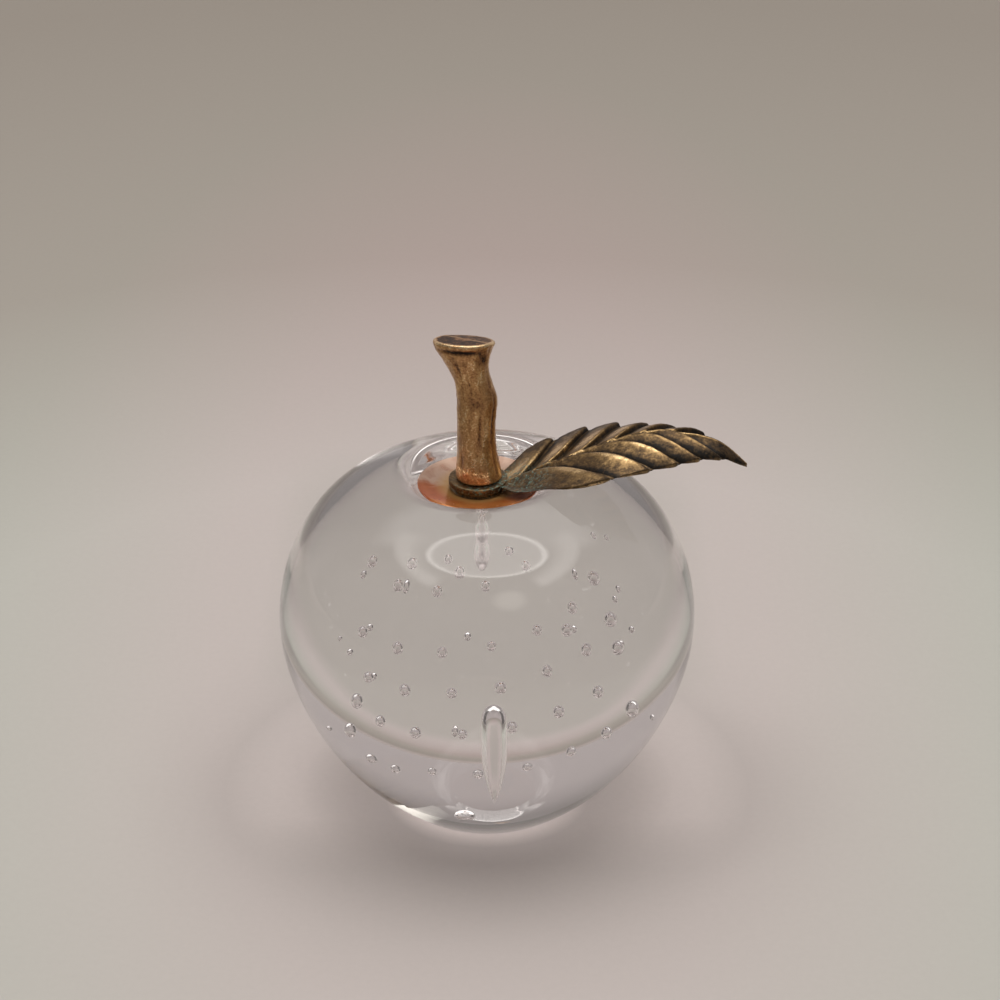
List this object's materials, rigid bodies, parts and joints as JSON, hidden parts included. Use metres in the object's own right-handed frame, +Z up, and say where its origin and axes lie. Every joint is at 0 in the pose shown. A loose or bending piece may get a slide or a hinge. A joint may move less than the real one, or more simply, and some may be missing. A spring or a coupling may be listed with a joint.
{
  "type": "glass apple ornament",
  "caption": "Clear glass apple with trapped air bubbles, a dished metal crown plate, a cast twig stem and a swivelling cast leaf.",
  "frame": {"origin": "centre of the flat ground foot, on the surface the apple stands on", "axes": "+Z up along the glass axis, +X towards the leaf, +Y to the back, away from the picture's camera"},
  "size_m": [0.089, 0.08, 0.0979],
  "materials": {
    "clear_glass": "fire-polished clear glass, ground flat on the foot",
    "cement": "set resin cement, matt",
    "steel": "plain turned steel",
    "copper": "polished copper-coloured plate with a bright rim",
    "aged_brass": "cast brass, rubbed bright on the crests and brown in the hollows",
    "brass": "plain brass"
  },
  "bodies": {
    "apple": {"glass_body": "clear_glass", "cement_plug": "cement", "stud": "steel", "crown_dish": "copper", "stem_washer": "brass", "stem": "aged_brass"},
    "leaf_arm": {"leaf": "aged_brass"}
  },
  "joints": [
    {"name": "leaf_swivel", "type": "hinge", "parent": "apple", "child": "leaf_arm", "pos_m": [-0.0016, 0, 0.068], "axis": [0, 0, 1], "continuous": true}
  ]
}
